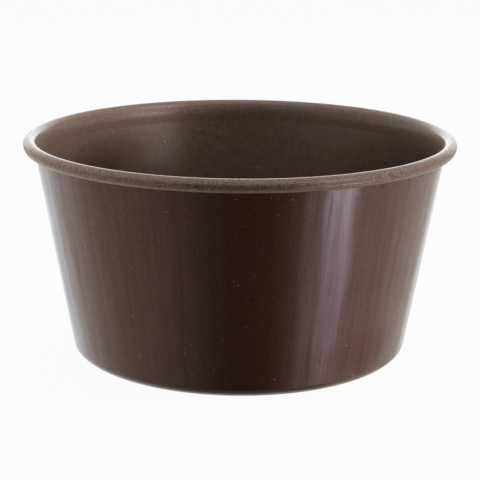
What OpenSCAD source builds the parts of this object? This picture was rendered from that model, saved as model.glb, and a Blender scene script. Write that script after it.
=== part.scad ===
// Metal muffin cup, deep-drawn from one round blank of sheet steel.
// The wall leans outwards, draws in a hair under the rim, and curves out into an open roll.
// Origin at the centre of the base's underside, +Z up. Sizes in millimetres.

/* [Body] */
// Width across the outside of the rolled rim
rim_d = 80; // [70:0.5:95]
// Width at the table, where the wall's line carried down would meet it
base_d = 62.6; // [54:0.2:64]
// Height from the base's underside to the top of the rim
cup_h = 40.5; // [28:0.5:60]
// Outside radius of the bend between base and wall
corner_r = 2.1; // [1:0.1:5]
// Thickness of the sheet, coatings included
sheet_t = 0.5; // [0.3:0.05:0.6]

/* [Neck and lip] */
// How far the rim stands out past the wall's line carried up to it
rim_out = 1.67; // [1.5:0.01:2.2]
// How far the neck is drawn in from the wall's line
neck_in = 0.06; // [0:0.01:0.2]
// Depth below the rim's top where the neck begins
neck_drop = 4.2; // [3.9:0.1:8]
// Depth below the rim's top where the neck starts to curve out into the lip
lip_drop = 3.0; // [2.6:0.1:3.6]

/* [Rolled rim] */
// Width of the roll's section
roll_w = 2.3; // [1.9:0.05:2.4]
// Straight part between the roll's upper and lower bends
roll_flat = 0.1; // [0.1:0.05:0.5]
// Gap left between the rolled-in edge and the lip
edge_gap = 0.12; // [0.06:0.02:0.3]

/* [Finish] */
// Colour of the coated sheet
coat_color = [0.25, 0.19, 0.17];

/* [Hidden] */
$fn = 180;

rim_r = rim_d / 2;
roll_r = roll_w / 2;
// How far the points of the flat base and of the roll's straight part reach into the bends they join
key = sheet_t / 4;
// How far the other parts of the section run on past the line where they join
lap = 0.25;
// How far the flatter of two joined parts is set in towards the centre of the tighter one, so that
// their faces cross at one clear line
nest = 0.0005;
// Lean of the wall from upright
wall_a = atan2(rim_r - rim_out - base_d / 2, cup_h);

// Outside radius of the wall's line at a height
function wall_x(z) = base_d / 2 + z * tan(wall_a);

// Point on the sheet's inner side, square to the mean of the leans on either side of a corner
function inner_point(p, lean_below, lean_above) =
    let (mean = (lean_below + lean_above) / 2, reach = sheet_t / cos((lean_above - lean_below) / 2))
    [p[0] - reach * cos(mean), p[1] + reach * sin(mean)];

// Centre of the bend between base and wall, and where the bend meets the wall
bend_c = [wall_x(corner_r) - corner_r / cos(wall_a) + nest, corner_r];
foot_z = corner_r * (1 - sin(wall_a));
wall_foot = [wall_x(foot_z), foot_z];
wall_way = [sin(wall_a), cos(wall_a)];

// Outer corners of the neck
neck_low = [wall_x(cup_h - neck_drop), cup_h - neck_drop];
neck_high = [wall_x(cup_h - lip_drop) - neck_in, cup_h - lip_drop];
neck_a = atan2(neck_high[0] - neck_low[0], neck_high[1] - neck_low[1]);
neck_way = [sin(neck_a), cos(neck_a)];

// Centres of the roll's upper and lower bends, and the radius of the roll's hollow
roll_c = [rim_r - roll_r, cup_h - roll_r];
tuck_c = roll_c - [0, roll_flat];
hollow_r = roll_r - sheet_t;

// The lip is one bend that leaves the neck square to it and runs smoothly into the roll
neck_square = [cos(neck_a), -sin(neck_a)];
lip_foot = neck_high - nest * neck_square;
to_roll = roll_c - lip_foot;
touch_r = hollow_r - nest;
lip_r = (to_roll * to_roll - touch_r * touch_r) / (2 * (neck_square * to_roll - touch_r));
lip_c = lip_foot + lip_r * neck_square;
lip_a = atan2(roll_c[1] - lip_c[1], lip_c[0] - roll_c[0]);

// The roll stops where its tucked edge's outer corner is edge_gap short of the lip
tuck_to_lip = lip_c - tuck_c;
tuck_far = norm(tuck_to_lip);
short_r = lip_r - edge_gap;
tuck_a = acos((roll_r * roll_r + tuck_far * tuck_far - short_r * short_r) / (2 * roll_r * tuck_far))
    - atan2(tuck_to_lip[1], tuck_to_lip[0]);

// Point on a circle
function on_circle(r, a) = r * [cos(a), sin(a)];

// Line that ends a bend, from inside its ring to outside it. The ring's outer face runs on past
// angle a by run[0], its inner face by run[1], counter-clockwise where way is 1.
function end_line(r, a, way, run) =
    let (bore = r - sheet_t,
         outer = on_circle(r, a + way * run[0] / r * 180 / PI),
         inner = on_circle(bore, a + way * run[1] / bore * 180 / PI))
    [inner - (outer - inner) / 2, 2 * outer - inner];

// Ring one sheet thick, outer radius r, kept from angle a0 clockwise to angle a1 and the runs past them
module bend(r, a0, a1, run0 = [0, 0], run1 = [0, 0]) {
    steps = 6;
    first = end_line(r, a0, 1, run0);
    last = end_line(r, a1, -1, run1);
    intersection() {
        difference() {
            circle(r = r);
            circle(r = r - sheet_t);
        }
        polygon(concat([[0, 0]], first,
            [for (i = [1 : steps - 1]) on_circle(2 * r, a0 + (a1 - a0) * i / steps)],
            [last[1], last[0]]));
    }
}

// Half section of the sheet, from the axis to the tucked edge
module section() {
    // base
    polygon([
        [0, 0], [bend_c[0], 0],
        [bend_c[0] + key, sheet_t / 2],
        [bend_c[0], sheet_t], [0, sheet_t]
    ]);
    translate(bend_c) bend(corner_r, -wall_a, -90, [lap, 0]);
    // wall and neck
    polygon([
        wall_foot, neck_low, neck_high + lap * neck_way,
        inner_point(neck_high, neck_a, neck_a),
        inner_point(neck_low, wall_a, neck_a),
        inner_point(wall_foot, wall_a, wall_a) - lap * wall_way
    ]);
    // lip
    translate(lip_c) bend(lip_r + sheet_t, 180 - neck_a, 180 - lip_a, [lap, 0], [0, lap]);
    // roll
    translate(roll_c) bend(roll_r, 180 - lip_a, 0, [lap, 0]);
    translate(tuck_c + [roll_r, 0]) polygon([
        [0, 0], [0, roll_flat], [-sheet_t / 2, roll_flat + key],
        [-sheet_t, roll_flat], [-sheet_t, 0], [-sheet_t / 2, -key]
    ]);
    translate(tuck_c) bend(roll_r, 0, -tuck_a);
}

// The whole cup: one drawn and rolled sheet
module cup() {
    color(coat_color) rotate_extrude() section();
}

cup();
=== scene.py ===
import math

import bpy
from mathutils import Matrix, Vector


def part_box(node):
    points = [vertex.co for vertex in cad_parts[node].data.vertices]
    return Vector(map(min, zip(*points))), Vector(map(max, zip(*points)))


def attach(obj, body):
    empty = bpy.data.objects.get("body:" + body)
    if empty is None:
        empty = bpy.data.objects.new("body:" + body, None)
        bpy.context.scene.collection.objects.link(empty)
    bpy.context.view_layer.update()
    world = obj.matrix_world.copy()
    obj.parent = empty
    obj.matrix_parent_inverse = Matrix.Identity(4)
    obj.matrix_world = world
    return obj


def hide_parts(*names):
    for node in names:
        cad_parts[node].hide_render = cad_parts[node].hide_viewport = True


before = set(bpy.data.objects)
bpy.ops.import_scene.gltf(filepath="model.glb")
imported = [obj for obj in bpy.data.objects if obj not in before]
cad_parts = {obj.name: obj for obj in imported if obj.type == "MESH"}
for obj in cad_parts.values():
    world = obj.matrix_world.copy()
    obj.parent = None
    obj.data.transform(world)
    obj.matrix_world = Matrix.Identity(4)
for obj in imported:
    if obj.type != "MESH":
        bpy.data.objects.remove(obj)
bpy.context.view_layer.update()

# THE PHOTOGRAPH'S VIEW
# A long lens close in front of the cup and a little above it. The camera leans by
# a fraction of a degree, as the photograph does.
MM = 0.001
rim_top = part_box("cup")[1].z
look_at = Vector((0, 0, rim_top / 2))
eye_distance = 281.7 * MM
eye_rise = math.radians(14.77)
eye_roll = math.radians(0.395)
frame_px = 480
focal_px = 1487
centre_px = (239.36, 239.14)

eye = look_at + eye_distance * Vector((0, -math.cos(eye_rise), math.sin(eye_rise)))
lens = bpy.data.cameras.new("photo_lens")
lens.sensor_fit = "HORIZONTAL"
lens.sensor_width = 36
lens.lens = focal_px / frame_px * lens.sensor_width
lens.shift_x = (frame_px / 2 - centre_px[0]) / frame_px
lens.shift_y = (centre_px[1] - frame_px / 2) / frame_px
lens.clip_start = 0.01
camera = bpy.data.objects.new("photo_camera", lens)
bpy.context.scene.collection.objects.link(camera)
aim = (look_at - eye).to_track_quat("-Z", "Y").to_matrix().to_4x4()
camera.matrix_world = Matrix.Translation(eye) @ aim @ Matrix.Rotation(eye_roll, 4, "Z")
bpy.context.scene.camera = camera
bpy.context.scene.view_settings.view_transform = "Standard"

# THE STUDIO
# A pale table in an even white studio. The studio's reflection is dark where the
# photographer stands, has one upright soft lamp to the right, and is white behind.


def socket_key(name):
    """The input that a keyword means: i3 is the fourth, Coat_Weight the one named Coat Weight."""
    return int(name[1:]) if name[0] == "i" and name[1:].isdigit() else name.replace("_", " ")


class Shade:
    """One value in a node tree. Sums and products of values add their nodes to the tree."""

    def __init__(self, tree, socket):
        self.tree = tree
        self.socket = socket

    def node(self, kind, settings=None, **values):
        made = self.tree.nodes.new(kind)
        for name, value in (settings or {}).items():
            if name == "stops":
                ramp = made.color_ramp
                while len(ramp.elements) < len(value):
                    ramp.elements.new(0.5)
                for stop, (place, level) in zip(ramp.elements, value):
                    stop.position = place
                    stop.color = (level, level, level, 1)
            else:
                setattr(made, name, value)
        for name, value in values.items():
            self.set(made, name, value)
        return made

    def set(self, made, name, value):
        target = made.inputs[socket_key(name)]
        if isinstance(value, Shade):
            self.tree.links.new(value.socket, target)
        else:
            target.default_value = value

    def out(self, made, key=0):
        return Shade(self.tree, made.outputs[key])

    def math(self, operation, *others):
        values = {f"i{n}": v for n, v in enumerate((self, *others))}
        return self.out(self.node("ShaderNodeMath", {"operation": operation}, **values))

    def __add__(self, other):
        return self.math("ADD", other)

    __radd__ = __add__

    def __sub__(self, other):
        return self.math("SUBTRACT", other)

    def __rsub__(self, other):
        return (self * -1) + other

    def __mul__(self, other):
        return self.math("MULTIPLY", other)

    __rmul__ = __mul__

    def __truediv__(self, other):
        return self.math("DIVIDE", other)

    def clamp(self):
        """This value held between 0 and 1."""
        made = self.node("ShaderNodeMath", {"operation": "MULTIPLY", "use_clamp": True}, i0=self, i1=1.0)
        return self.out(made)

    def step(self, low, high):
        """Smooth change from 0 to 1 as this value goes from low to high."""
        made = self.node("ShaderNodeMapRange", {"interpolation_type": "SMOOTHSTEP"},
                         i0=self, i1=low, i2=high)
        return self.out(made)

    def grey(self):
        """This number as a colour."""
        made = self.node("ShaderNodeCombineColor", Red=self, Green=self, Blue=self)
        return self.out(made)

    def ramp(self, stops):
        """Grey level along this value: pairs of place and level."""
        return self.out(self.node("ShaderNodeValToRGB", {"stops": stops}, i0=self))


def colour_mix(factor, a, b, blend="MIX"):
    """Colour between a and b."""
    some = next(v for v in (factor, a, b) if isinstance(v, Shade))
    made = some.node("ShaderNodeMix", {"data_type": "RGBA", "blend_type": blend})
    for name, value in (("i0", factor), ("i6", a), ("i7", b)):
        some.set(made, name, (*value, 1) if isinstance(value, tuple) else value)
    return some.out(made, 2)


world = bpy.data.worlds.new("studio")
bpy.context.scene.world = world
world.use_nodes = True
world.cycles.sampling_method = "NONE"
tree = world.node_tree
tree.nodes.clear()
start = Shade(tree, None)
way = start.out(start.node("ShaderNodeTexCoord"), "Generated")
parts = start.node("ShaderNodeSeparateXYZ", Vector=way)
way_x, way_y, way_z = (start.out(parts, n) for n in range(3))
# turn is 0 towards the photographer and 1 straight behind the cup, less than 0 on the left
turn = way_x.math("ARCTAN2", way_y * -1) / math.pi
# lift is degrees up from level
lift = way_z.math("ARCSINE") * (180 / math.pi)
brightest = 2.5


def studio_side(stops):
    """Brightness round one side of the studio: pairs of degrees from the photographer and level."""
    return [(degrees / 180, level / brightest) for degrees, level in stops]


def tinted(levels, tint):
    """Brightness round the studio, given back at full strength in a tint."""
    return colour_mix(1.0, levels, tuple(brightest * part for part in tint), "MULTIPLY")


right = turn.ramp(studio_side([
    (0, 0.01), (20, 0.02), (30, 0.1), (38, 0.36), (42, 1.05), (47, 1.2), (50, 0.9), (74, 0.95),
    (82, 0.88), (91, 0.78), (100, 0.66), (108, 0.75), (120, 0.9), (133, 0.7), (145, 0.7),
    (160, 1.0), (180, 1.1)]))
left = (turn * -1).ramp(studio_side([
    (0, 0.01), (10, 0.02), (28, 0.2), (47, 0.41), (65, 0.52), (82, 0.51), (100, 0.68),
    (117, 0.9), (133, 1.08), (150, 1.1), (180, 1.1)]))
seen = tinted(colour_mix(turn.step(-0.001, 0.001), left, right), (0.96, 1.0, 0.99))
# a cool white wall far round on the left
seen = colour_mix(turn.step(-0.7, -0.85), seen, (0.99, 1.08, 1.13))
# the room is dimmer level with the rim, and plain white overhead
level_with_rim = lift.step(-16, -8) * lift.step(22, 10)
seen = colour_mix(level_with_rim * 0.35, seen, (0.02, 0.02, 0.02))
seen = colour_mix(lift.step(10, 45), seen, (1.0, 1.0, 1.0))
# the soft lamp on the right: its image in the table, its lower edge, and its upper part
lamp = turn.step(0.27, 0.30) * turn.step(0.41, 0.37)
mirrored = lift.step(-43, -40) * lift.step(-20, -24)
lamp_colour = colour_mix(lift.step(-34, -29), (1.85, 1.8, 2.1), (5.1, 5.0, 5.85))
seen = colour_mix(lamp * mirrored, seen, lamp_colour)
low_edge = turn.step(0.22, 0.27) * turn.step(0.40, 0.35) * lift.step(8.5, 10.5) * lift.step(16, 13)
seen = colour_mix(low_edge, seen, (4.5, 4.4, 4.6))
upper_part = turn.step(0.22, 0.25) * turn.step(0.40, 0.34) * lift.step(24, 27) * lift.step(44, 38)
seen = colour_mix(upper_part, seen, (3.6, 3.5, 3.6))
# the table close to the cup, as its foot and its bead see it
near_table = turn.math("ABSOLUTE").ramp(studio_side([
    (0, 0.4), (40, 0.4), (60, 0.45), (90, 0.65), (110, 1.0), (140, 1.2), (180, 1.1)]))
seen = colour_mix(lift.step(-44, -56), seen, tinted(near_table, (1.0, 0.97, 0.95)))
# the lit backdrop behind the cup, from the table's far edge up
backdrop = turn.math("ABSOLUTE").step(0.74, 0.9) * lift.step(-6, 0) * lift.step(32, 18)
seen = colour_mix(backdrop, seen, (2.2, 2.25, 2.3))
# matt surfaces get little light from the room; the camera sees it white
room_light = (0.05, 0.05, 0.05)
ray = start.node("ShaderNodeLightPath")
light = colour_mix(start.out(ray, "Is Glossy Ray"), room_light, seen)
light = colour_mix(start.out(ray, "Is Camera Ray"), light, (1.0, 1.0, 1.0))
shine = start.node("ShaderNodeBackground", Color=light, Strength=1.0)
end = start.node("ShaderNodeOutputWorld")
tree.links.new(shine.outputs[0], end.inputs[0])


def soft_lamp(name, place, aim_at, size, power):
    """Soft box that lights the cup and the table and shows in no reflection."""
    data = bpy.data.lights.new(name, "AREA")
    data.shape = "RECTANGLE"
    data.size, data.size_y = size
    data.energy = power
    box = bpy.data.objects.new(name, data)
    bpy.context.scene.collection.objects.link(box)
    place = Vector(place)
    facing = (Vector(aim_at) - place).to_track_quat("-Z", "Y").to_matrix().to_4x4()
    box.matrix_world = Matrix.Translation(place) @ facing
    box.visible_glossy = False
    box.visible_camera = False


soft_lamp("soft_box_top", place=(0.0, 0.08, 0.60), aim_at=(0, 0, 0.02), size=(0.4, 0.4), power=1.05)
soft_lamp("soft_box_left", place=(-0.545, 0.075, 0.05), aim_at=(0, 0, 0.02), size=(0.3, 0.06), power=3.0)
soft_lamp("soft_box_right", place=(0.545, 0.07, 0.09), aim_at=(0, 0, 0.03), size=(0.3, 0.1), power=4.2)
soft_lamp("soft_box_front", place=(0.0, -0.55, 0.09), aim_at=(0, 0, 0.03), size=(0.4, 0.08), power=0.16)

table_half = 3.0
table_grey = 0.40
# the camera sees the table mostly as white, with the cup's shadow in the rest
glow, glow_share = 1.04, 0.92
table_mesh = bpy.data.meshes.new("table")
table_mesh.from_pydata([(-table_half, -table_half, 0), (table_half, -table_half, 0),
                        (table_half, table_half, 0), (-table_half, table_half, 0)], [], [(0, 1, 2, 3)])
table = bpy.data.objects.new("table", table_mesh)
bpy.context.scene.collection.objects.link(table)
table.visible_glossy = False
table_finish = bpy.data.materials.new("table_white")
table_finish.use_nodes = True
tree = table_finish.node_tree
tree.nodes.clear()
start = Shade(tree, None)
ray = start.node("ShaderNodeLightPath")
matt = start.node("ShaderNodeBsdfDiffuse", Color=(table_grey, table_grey, table_grey, 1))
white = start.node("ShaderNodeEmission", Color=(1, 1, 1, 1), Strength=glow)
mixed = start.node("ShaderNodeMixShader", i0=start.out(ray, "Is Camera Ray") * glow_share)
tree.links.new(matt.outputs[0], mixed.inputs[1])
tree.links.new(white.outputs[0], mixed.inputs[2])
end = start.node("ShaderNodeOutputMaterial")
tree.links.new(mixed.outputs[0], end.inputs[0])
table_mesh.materials.append(table_finish)

# THE CUP
# One round blank of sheet steel, deep-drawn in a press, drawn in a little at the neck
# and rolled outwards at the rim. Dark lacquer outside, non-stick coating inside.

# sizes in mm; the rim and the height are a hair under the part's, to stay inside its box
rim_r = 39.985
cup_h = 40.495
base_r = 31.3
corner_r = 2.1
sheet_t = 0.5
rim_out = 1.67
neck_in = 0.06
neck_drop = 4.2
lip_drop = 3.0
roll_r = 1.15
roll_flat = 0.1
edge_gap = 0.12
# radius of the soft bends where the wall turns into the neck
bend_soft = 2.0
wall_a = math.atan2(rim_r - rim_out - base_r, cup_h)


def wall_x(z):
    """Outside radius of the wall's line at a height."""
    return base_r + z * math.tan(wall_a)


def arc(centre, r, a0, a1, count):
    """Points on a circle from angle a0 to a1, in degrees."""
    turns = [math.radians(a0 + (a1 - a0) * n / count) for n in range(count + 1)]
    return [(centre[0] + r * math.cos(a), centre[1] + r * math.sin(a)) for a in turns]


def soft_bend(corner, lean_below, lean_above, side, count):
    """Points round one bend of the wall, side sheet thicknesses in from its outer face."""
    half = (lean_above - lean_below) / 2
    mean = (lean_above + lean_below) / 2
    # the bend's centre lies outside the wall where the lean grows, inside where it shrinks
    sign = 1 if lean_above > lean_below else -1
    reach = bend_soft / math.cos(half)
    centre = (corner[0] + sign * reach * math.cos(mean), corner[1] - sign * reach * math.sin(mean))
    r = bend_soft + sign * side * sheet_t
    points = []
    for n in range(count + 1):
        lean = lean_below + (lean_above - lean_below) * n / count
        points.append((centre[0] - sign * r * math.cos(lean), centre[1] + sign * r * math.sin(lean)))
    return points


bend_c = (wall_x(corner_r) - corner_r / math.cos(wall_a), corner_r)
neck_low = (wall_x(cup_h - neck_drop), cup_h - neck_drop)
neck_high = (wall_x(cup_h - lip_drop) - neck_in, cup_h - lip_drop)
neck_a = math.atan2(neck_high[0] - neck_low[0], neck_high[1] - neck_low[1])
roll_c = (rim_r - roll_r, cup_h - roll_r)
tuck_c = (roll_c[0], roll_c[1] - roll_flat)
hollow_r = roll_r - sheet_t
# the lip is one bend from the neck into the roll
neck_square = Vector((math.cos(neck_a), -math.sin(neck_a)))
to_roll = Vector(roll_c) - Vector(neck_high)
lip_r = (to_roll.dot(to_roll) - hollow_r ** 2) / (2 * (neck_square.dot(to_roll) - hollow_r))
lip_c = Vector(neck_high) + lip_r * neck_square
lip_a = math.atan2(roll_c[1] - lip_c[1], lip_c[0] - roll_c[0])
# the roll's edge is tucked back until it is edge_gap short of the lip
tuck_to_lip = lip_c - Vector(tuck_c)
tuck_far, short_r = tuck_to_lip.length, lip_r - edge_gap
tuck_a = (math.acos((roll_r ** 2 + tuck_far ** 2 - short_r ** 2) / (2 * roll_r * tuck_far))
          - math.atan2(tuck_to_lip[1], tuck_to_lip[0]))
floor_steps, wall_steps = 9, 14
corner_steps, neck_steps, lip_steps, roll_steps, tuck_steps = 12, 6, 12, 22, 18


def face_of_sheet(side):
    """One face of the sheet, from the base's centre to the tucked edge: side 0 outer, 1 inner."""
    bend = corner_r - side * sheet_t
    roll = roll_r - (1 - side) * sheet_t
    floor_z = side * sheet_t
    lip_start, lip_end = 180 - math.degrees(neck_a), 180 - math.degrees(lip_a)
    points = [(bend_c[0] * n / floor_steps, floor_z) for n in range(floor_steps)]
    points += arc(bend_c, bend, -90, -math.degrees(wall_a), corner_steps)
    foot = points[-1]
    low = soft_bend(neck_low, wall_a, neck_a, side, neck_steps)
    up = (low[0][0] - foot[0], low[0][1] - foot[1])
    points += [(foot[0] + up[0] * n / wall_steps, foot[1] + up[1] * n / wall_steps)
               for n in range(1, wall_steps)]
    points += low
    points += arc(lip_c, lip_r + side * sheet_t, lip_start, lip_end, lip_steps)
    points += arc(roll_c, roll, lip_end, 0, roll_steps)[1:]
    points += arc(tuck_c, roll, 0, -math.degrees(tuck_a), tuck_steps)
    return points


outer = face_of_sheet(0)
inner = face_of_sheet(1)
section = outer + inner[::-1]
# share of the way along the section that is the sheet's outer face
outer_share = (len(outer) - 0.5) / (len(section) - 1)

section_mesh = bpy.data.meshes.new("cup_section")
section_mesh.from_pydata([(x * MM, 0, z * MM) for x, z in section],
                         [(n, n + 1) for n in range(len(section) - 1)], [])
cup = bpy.data.objects.new("muffin_cup", section_mesh)
bpy.context.scene.collection.objects.link(cup)

turning = bpy.data.node_groups.new("turn_section_round_axis", "GeometryNodeTree")
face = turning.interface
face.new_socket("Geometry", in_out="OUTPUT", socket_type="NodeSocketGeometry")
face.new_socket("Section", in_out="INPUT", socket_type="NodeSocketGeometry")
for name, kind in (("Section points", "NodeSocketInt"), ("Steps round", "NodeSocketInt"),
                   ("Outer share", "NodeSocketFloat"), ("Draw ripple", "NodeSocketFloat"),
                   ("Ripple seed", "NodeSocketFloat"), ("Weld", "NodeSocketFloat"),
                   ("Lacquer", "NodeSocketMaterial"), ("Coating", "NodeSocketMaterial")):
    face.new_socket(name, in_out="INPUT", socket_type=kind)
given = turning.nodes.new("NodeGroupInput")
made = turning.nodes.new("NodeGroupOutput")


def gn(kind, settings=None, **values):
    """Adds a node to the turning tree; values may be numbers or other nodes' outputs."""
    node = turning.nodes.new(kind)
    for name, value in (settings or {}).items():
        setattr(node, name, value)
    for name, value in values.items():
        target = node.inputs[socket_key(name)]
        if isinstance(value, bpy.types.NodeSocket):
            turning.links.new(value, target)
        else:
            target.default_value = value
    return node


def gmath(operation, *values):
    """One sum, product or other operation in the turning tree."""
    return gn("ShaderNodeMath", {"operation": operation},
              **{f"i{n}": v for n, v in enumerate(values)}).outputs[0]


def fade(height, low, high):
    """Smooth change from 0 to 1 as a height goes from low to high, in mm."""
    return gn("ShaderNodeMapRange", {"interpolation_type": "SMOOTHSTEP"},
              i0=height, i1=low * MM, i2=high * MM).outputs[0]


# a flat grid: its x is the way round, its y the way along the section
grid = gn("GeometryNodeMeshGrid", Size_X=1.0, Size_Y=1.0,
          Vertices_X=gmath("ADD", given.outputs["Steps round"], 1.0),
          Vertices_Y=given.outputs["Section points"])
place = gn("ShaderNodeSeparateXYZ", Vector=gn("GeometryNodeInputPosition").outputs[0])
around = gmath("ADD", place.outputs[0], 0.5)
along = gmath("ADD", place.outputs[1], 0.5)
row = gmath("ROUND", gmath("MULTIPLY", along, gmath("SUBTRACT", given.outputs["Section points"], 1.0)))
point = gn("GeometryNodeSampleIndex", {"data_type": "FLOAT_VECTOR", "domain": "POINT"},
           Geometry=given.outputs["Section"], Value=gn("GeometryNodeInputPosition").outputs[0], Index=row)
drawn = gn("ShaderNodeSeparateXYZ", Vector=point.outputs[0])
angle = gmath("MULTIPLY", around, 2 * math.pi)
cosine, sine = gmath("COSINE", angle), gmath("SINE", angle)
height = drawn.outputs[2]
# the press leaves the wall a few hundredths out of true, mostly round the axis
waves_round, waves_up = 3.0, 0.02
wander = gmath("ADD", given.outputs["Ripple seed"], gmath("MULTIPLY", height, waves_up / MM))
ripple_at = gn("ShaderNodeCombineXYZ", X=gmath("MULTIPLY", cosine, waves_round),
               Y=gmath("MULTIPLY", sine, waves_round), Z=wander)
ripple = gn("ShaderNodeTexNoise", {"noise_dimensions": "3D"}, Vector=ripple_at.outputs[0], Scale=2.2,
            Detail=3.0, Roughness=0.55)
sway = gmath("MULTIPLY", gmath("SUBTRACT", ripple.outputs[0], 0.5), given.outputs["Draw ripple"])
# it dies out towards the foot and the neck
sway = gmath("MULTIPLY", gmath("MULTIPLY", sway, fade(height, 1.0, 9.0)), fade(height, 36.5, 28.0))
radius = gmath("ADD", drawn.outputs[0], sway)
turned = gn("ShaderNodeCombineXYZ", X=gmath("MULTIPLY", radius, cosine),
            Y=gmath("MULTIPLY", radius, sine), Z=height)
chart = gn("ShaderNodeCombineXYZ", X=around, Y=along)
charted = gn("GeometryNodeStoreNamedAttribute", {"data_type": "FLOAT2", "domain": "CORNER"},
             Geometry=grid.outputs["Mesh"], Name="UVMap", Value=chart.outputs[0])
is_outer = gn("FunctionNodeCompare", {"data_type": "FLOAT", "operation": "LESS_THAN"},
              A=along, B=given.outputs["Outer share"])
# which faces are the sheet's outer side, kept before the grid is bent up
noted = gn("GeometryNodeStoreNamedAttribute", {"data_type": "BOOLEAN", "domain": "FACE"},
           Geometry=charted.outputs[0], Name="lacquered", Value=is_outer.outputs[0])
bent = gn("GeometryNodeSetPosition", Geometry=noted.outputs[0], Position=turned.outputs[0])
smooth = gn("GeometryNodeSetShadeSmooth", Geometry=bent.outputs[0])
welded = gn("GeometryNodeMergeByDistance", Geometry=smooth.outputs[0], Distance=given.outputs["Weld"])
whole = gn("GeometryNodeRealizeInstances", Geometry=welded.outputs[0])
finished = gn("GeometryNodeSetMaterial", Geometry=whole.outputs[0], Material=given.outputs["Coating"])
lacquered = gn("GeometryNodeInputNamedAttribute", {"data_type": "BOOLEAN"}, Name="lacquered")
finished = gn("GeometryNodeSetMaterial", Geometry=finished.outputs[0], Selection=lacquered.outputs[0],
              Material=given.outputs["Lacquer"])
turning.links.new(finished.outputs[0], made.inputs[0])


class CupFinish:
    """A finish on the cup, with the place on it in mm and degrees round from the front."""

    def __init__(self, name):
        self.material = bpy.data.materials.new(name)
        self.material.use_nodes = True
        self.material.node_tree.nodes.clear()
        self.start = Shade(self.material.node_tree, None)
        object_place = self.start.out(self.start.node("ShaderNodeTexCoord"), "Object")
        axes = self.start.node("ShaderNodeSeparateXYZ", Vector=object_place)
        self.x, self.y, self.z = (self.start.out(axes, n) / MM for n in range(3))
        self.out = (self.x * self.x + self.y * self.y).math("SQRT")
        self.turn = self.x.math("ARCTAN2", self.y * -1) * (180 / math.pi)

    def noise(self, x, y, z, detail=2.0):
        """Noise about 0, one wave to a unit."""
        at = self.start.node("ShaderNodeCombineXYZ", X=x, Y=y, Z=z)
        made = self.start.node("ShaderNodeTexNoise", Vector=self.start.out(at), Scale=1.0, Detail=detail)
        return self.start.out(made) - 0.5

    def grain(self, size, stretch=1.0, detail=2.0):
        """Even grain of a size in mm, stretched upright."""
        return self.noise(self.x / size, self.y / size, self.z / (size * stretch), detail)

    def streaks(self, width, length):
        """Upright streaks of a width and length in mm, closed round the axis."""
        waves = (base_r + rim_r) / 2 / width
        return self.noise(self.x / self.out * waves, self.y / self.out * waves, self.z / length)

    def mark(self, turn, height, half_width, half_height, slant=0.0, soft=0.3):
        """Mask of one mark on the wall: degrees from the front, then mm; slant leans it over."""
        lean = math.radians(slant)
        across = (self.turn - turn) * math.radians(wall_x(height))
        up = self.z - height
        a = (across * math.cos(lean) + up * math.sin(lean)) / half_width
        b = (up * math.cos(lean) - across * math.sin(lean)) / half_height
        return (a * a + b * b).step(1.0, soft)

    def specks(self, spacing, size, share):
        """Sparse round specks: mean spacing and size in mm, share of the places that hold one."""
        at = self.start.node("ShaderNodeCombineXYZ", X=self.x / spacing, Y=self.y / spacing,
                             Z=self.z / spacing)
        made = self.start.node("ShaderNodeTexVoronoi", Vector=self.start.out(at), Scale=1.0)
        picked = self.start.node("ShaderNodeSeparateColor", Color=self.start.out(made, "Color"))
        chosen = self.start.out(picked).step(1.0 - share - 0.01, 1.0 - share)
        return self.start.out(made, "Distance").step(size / spacing, 0.5 * size / spacing) * chosen

    def tone(self, colour, level):
        """The colour made lighter or darker by a level about 1."""
        return colour_mix(1.0, colour, level.grey(), "MULTIPLY")

    def surface(self, **values):
        """The finish itself, from the values or levels of its sockets."""
        body = self.start.node("ShaderNodeBsdfPrincipled", **values)
        self.start.node("ShaderNodeOutputMaterial", Surface=self.start.out(body))

    def bump(self, height, depth, strength):
        """Normal of a surface raised by height times depth, in mm."""
        made = self.start.node("ShaderNodeBump", Height=height, Distance=depth * MM, Strength=strength)
        return self.start.out(made)


# the lacquer: glossy dark brown, finely grained, with the upright streaks of the draw
lacquer = CupFinish("dark_brown_lacquer")
on_wall = lacquer.z.step(0.8, 3.0)
draw = (lacquer.streaks(4.5, 70) * 0.6 + lacquer.streaks(1.3, 30) * 0.9
        + lacquer.streaks(0.32, 8) * 1.1) * on_wall
fine = lacquer.grain(0.26, 1.2, 1.0) * 2.2
patches = lacquer.grain(7.0, 1.5)
# dust caught under the coat: placed one by one on the front, scattered sparsely beyond it
dust = lacquer.specks(4.2, 0.16, 0.14) * lacquer.turn.math("ABSOLUTE").step(44, 50)
front_dust = (
    (-0.8, 36.8, 0.16), (7.9, 37.0, 0.13), (13.2, 36.6, 0.16), (9.8, 34.0, 0.14), (4.1, 23.2, 0.13),
    (-1.5, 22.2, 0.15), (-0.4, 21.5, 0.15), (1.8, 18.4, 0.14), (2.2, 13.7, 0.14), (-4.7, 11.2, 0.15),
    (-14.0, 10.1, 0.13), (-16.4, 8.2, 0.16), (-32.1, 6.2, 0.14), (-31.1, 23.0, 0.13),
    (20.8, 10.2, 0.13), (35.0, 8.3, 0.18), (30.4, 12.8, 0.13), (-7.6, 5.4, 0.13), (11.2, 3.6, 0.2),
    (40.1, 1.8, 0.22))
for turn_at, height_at, half in front_dust:
    dust = dust + lacquer.mark(turn_at, height_at, half, half)
# short light scratches
scratches = (lacquer.mark(-32.9, 13.8, 0.55, 0.08, 35) * 0.6 + lacquer.mark(-18.8, 34.1, 0.5, 0.09) * 0.6
             + lacquer.mark(0.8, 32.1, 0.45, 0.09) * 0.5)
dust = (dust + scratches).clamp()
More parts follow.
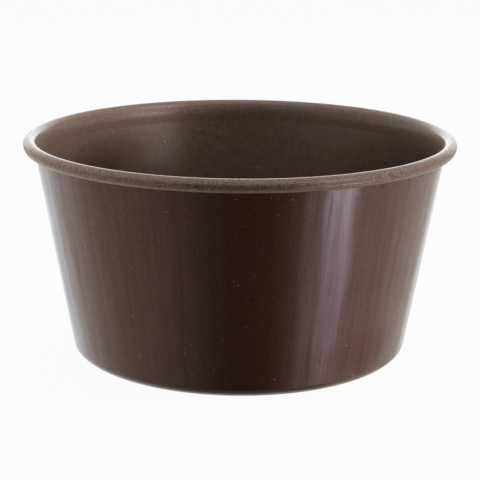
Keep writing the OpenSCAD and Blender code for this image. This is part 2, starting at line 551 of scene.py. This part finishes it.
# dark pits, a chip under the bead, and dull smudges low on the right, on the left and behind
pits = (lacquer.mark(-18.6, 21.2, 0.16, 0.16) + lacquer.mark(25.6, 6.2, 0.15, 0.2)
        + lacquer.mark(55.8, 37.3, 0.5, 0.13, -50) + lacquer.mark(56.9, 37.3, 0.5, 0.13, 50)
        + lacquer.mark(39.3, 37.2, 0.8, 0.4, 20, 0.0) * 0.7).clamp()
smudge = (lacquer.mark(43, 6.5, 9.0, 5.5, 0, 0.0) * 0.42 + lacquer.mark(24, 4.0, 8.0, 6.0, 0, 0.0) * 0.3
          + lacquer.mark(-96, 12, 7.0, 5.0, 20, 0.0) * 0.3
          + lacquer.mark(152, 22, 8.0, 6.0, -15, 0.0) * 0.3)
smudge = smudge * (patches * 2.0 + 1) * (fine * 0.6 + 1)
lacquer_brown, dust_beige, pit_black = (0.102, 0.043, 0.028), (0.36, 0.30, 0.23), (0.02, 0.01, 0.008)
brown = lacquer.tone(lacquer_brown, 1 + draw * 0.3 + fine * 0.4 + patches * 0.2)
brown = colour_mix(dust * 0.8, brown, dust_beige)
brown = colour_mix(pits * 0.8, brown, pit_black)
coat = (0.88 + draw * 0.75 + fine * 0.3 + patches * 0.12 - smudge - dust * 0.4 - pits * 0.8).clamp()
lacquer.surface(Base_Color=brown, Metallic=0.18, Roughness=0.34 + draw * -0.2 + fine * 0.2,
                Specular_IOR_Level=0.1, Coat_Weight=coat, Coat_Roughness=0.10, Coat_IOR=1.42,
                Normal=lacquer.bump(draw + fine * 0.5, 0.02, 0.5))

# the coating: satin taupe, sprayed, so it is leathery, most of all on the rolled bead
coating = CupFinish("taupe_nonstick")
bead = coating.out.step(38.7, 39.3) * coating.z.step(37.4, 38.0)
speckle = coating.grain(0.36, 1.4, 1.5) * 2.2
leather = coating.grain(0.25, 1.0, 1.0) * 2.4
mottle = coating.grain(1.3, 1.6)
clouds = coating.grain(9.0, 1.3)
dust = (coating.specks(4.6, 0.15, 0.12) + coating.mark(-154.4, 32.5, 0.16, 0.3)
        + coating.mark(173.6, 26.7, 0.15, 0.3) + coating.mark(-117.8, 33.7, 0.16, 0.2)).clamp()
# painted shade: the wall inside is made a little darker towards the base, as the hollow of the cup shades
# it
painted_depth_shade = coating.z.step(38.5, 22) * coating.out.step(38.6, 38.0)
shade = (1.08 + speckle * (0.34 + bead * 0.2) + leather * (0.3 + bead * 0.45) + mottle * 0.25
         + clouds * 0.1)
coating_taupe, dust_pale = (0.205, 0.135, 0.101), (0.50, 0.45, 0.37)
# the taupe carries the painted shade of the hollow, darker deep inside the cup
taupe = coating.tone(coating_taupe, shade * (1 - painted_depth_shade * 0.27))
taupe = colour_mix(dust * 0.7, taupe, dust_pale)
coat = (0.70 - bead * 0.25 + (speckle + leather) * 0.35 + mottle * 0.2 - dust * 0.3).clamp()
coating.surface(Base_Color=taupe, Metallic=0.45, Roughness=0.42 + bead * 0.06 + speckle * 0.25,
                Specular_IOR_Level=0.1, Coat_Weight=coat, Coat_Roughness=0.18, Coat_IOR=1.5,
                Normal=coating.bump(speckle + leather * 0.5, 0.02, 0.4))

# the cup turned from its section, with its two finishes
steps_round, draw_ripple, ripple_seed, weld = 320, 0.16, 7.0, 0.0005
shaping = cup.modifiers.new("turned", "NODES")
shaping.node_group = turning
for name, value in (("Section points", len(section)), ("Steps round", steps_round),
                    ("Outer share", outer_share), ("Draw ripple", draw_ripple * MM),
                    ("Ripple seed", ripple_seed), ("Weld", weld * MM),
                    ("Lacquer", lacquer.material), ("Coating", coating.material)):
    socket = next(s for s in face.items_tree if s.name == name and s.in_out == "INPUT")
    shaping[socket.identifier] = value
bpy.context.view_layer.update()
seen_cup = cup.evaluated_get(bpy.context.evaluated_depsgraph_get())
cup_mesh = bpy.data.meshes.new_from_object(seen_cup)
cup.modifiers.remove(shaping)
cup.data = cup_mesh
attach(cup, "root")
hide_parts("cup")
